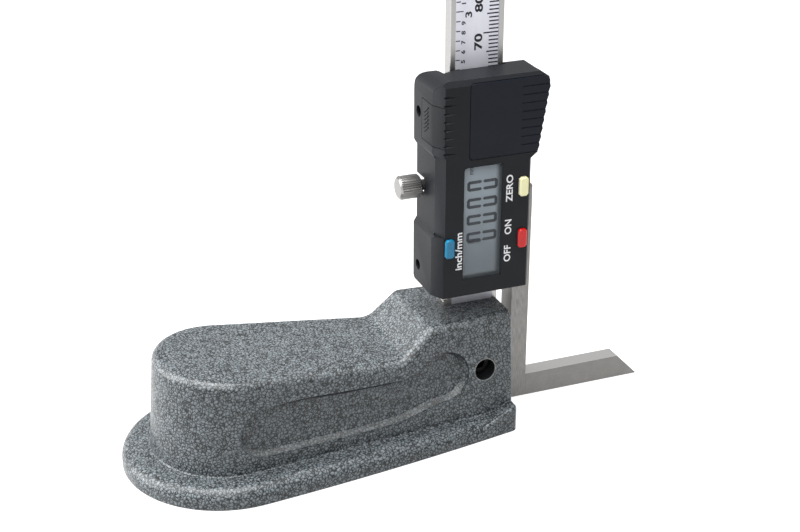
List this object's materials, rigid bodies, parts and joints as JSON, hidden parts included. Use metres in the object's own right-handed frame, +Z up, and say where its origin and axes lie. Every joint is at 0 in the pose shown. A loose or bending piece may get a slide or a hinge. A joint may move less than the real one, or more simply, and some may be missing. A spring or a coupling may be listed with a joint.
{
  "type": "height gauge",
  "caption": "Digital height gauge: cast base with finger grips, upright steel beam with printed scale, sliding readout head with lock screw and L-shaped measuring arm.",
  "frame": {"origin": "on the plane of the base underside, below the centre line of the beam", "axes": "+X runs from the beam towards the tip of the measuring arm, -Y is the side the display faces, +Z is up along the beam"},
  "size_m": [0.1529, 0.0564, 0.2547],
  "materials": {
    "hammer_paint": "grey hammer-finish enamel over cast iron",
    "ground_steel": "satin ground stainless steel",
    "scale_foil": "matt silver foil with dark printed graduations",
    "black_steel": "black oxide steel",
    "bright_steel": "bright plated steel",
    "frame_steel": "satin stainless steel",
    "scriber_steel": "surface ground hardened steel",
    "brass": "plain brass",
    "spring_brass": "bright spring brass",
    "housing_plastic": "black moulded plastic, fine texture",
    "cover_plastic": "black moulded plastic, satin",
    "inner_plastic": "dark grey plastic",
    "window": "clear acrylic",
    "lcd_glass": "grey liquid crystal glass",
    "dark_rubber": "conductive rubber",
    "board_green": "green solder resist",
    "chip_resin": "black resin",
    "cell_steel": "nickel plated steel",
    "yellow_plastic": "pale yellow plastic",
    "red_plastic": "red plastic",
    "blue_plastic": "blue plastic"
  },
  "bodies": {
    "stand": {"base_casting": "hammer_paint", "beam": "ground_steel", "scale_strip": "scale_foil", "beam_clamp_screw": "black_steel", "beam_wedge": "ground_steel", "beam_stop": "ground_steel", "beam_stop_screws": "bright_steel"},
    "head": {"slider_frame": "frame_steel", "back_plate": "frame_steel", "back_plate_screws": "bright_steel", "housing_screws": "bright_steel", "gib_strip": "brass", "gib_screws": "black_steel", "lock_pad": "brass", "scriber": "scriber_steel", "scriber_screws": "black_steel", "front_housing": "housing_plastic", "display_window": "window", "lcd_panel": "lcd_glass", "display_holder": "inner_plastic", "zebra_connector": "dark_rubber", "circuit_board": "board_green", "board_screws": "bright_steel", "controller_chip": "chip_resin", "battery_cell": "cell_steel", "battery_contact_minus": "spring_brass", "battery_contact_plus": "spring_brass", "button_domes": "dark_rubber", "data_contacts": "spring_brass"},
    "lock_knob": {"lock_screw": "bright_steel"},
    "zero_key": {"zero_button": "yellow_plastic"},
    "power_key": {"power_button": "red_plastic"},
    "unit_key": {"unit_button": "blue_plastic"},
    "cell_lid": {"battery_cover": "cover_plastic"},
    "port_lid": {"port_cover": "housing_plastic"}
  },
  "joints": [
    {"name": "head_slide", "type": "slide", "parent": "stand", "child": "head", "axis": [0, 0, 1], "range_m": [0, 0.15]},
    {"name": "lock_turn", "type": "hinge", "parent": "head", "child": "lock_knob", "pos_m": [-0.0188, 0, 0.0696], "axis": [1, 0, 0], "range_deg": [-180, 0]},
    {"name": "zero_key_press", "type": "slide", "parent": "head", "child": "zero_key", "axis": [0, 1, 0], "range_m": [0, 0.0004], "stiffness_N_per_m": 1500, "springref_m": -0.0003},
    {"name": "power_key_press", "type": "slide", "parent": "head", "child": "power_key", "axis": [0, 1, 0], "range_m": [0, 0.0004], "stiffness_N_per_m": 1500, "springref_m": -0.0003},
    {"name": "unit_key_press", "type": "slide", "parent": "head", "child": "unit_key", "axis": [0, 1, 0], "range_m": [0, 0.0004], "stiffness_N_per_m": 1500, "springref_m": -0.0003},
    {"name": "cell_lid_slide", "type": "slide", "parent": "head", "child": "cell_lid", "axis": [1, 0, 0], "range_m": [0, 0.03]},
    {"name": "port_lid_slide", "type": "slide", "parent": "head", "child": "port_lid", "axis": [-1, 0, 0], "range_m": [0, 0.012]}
  ]
}
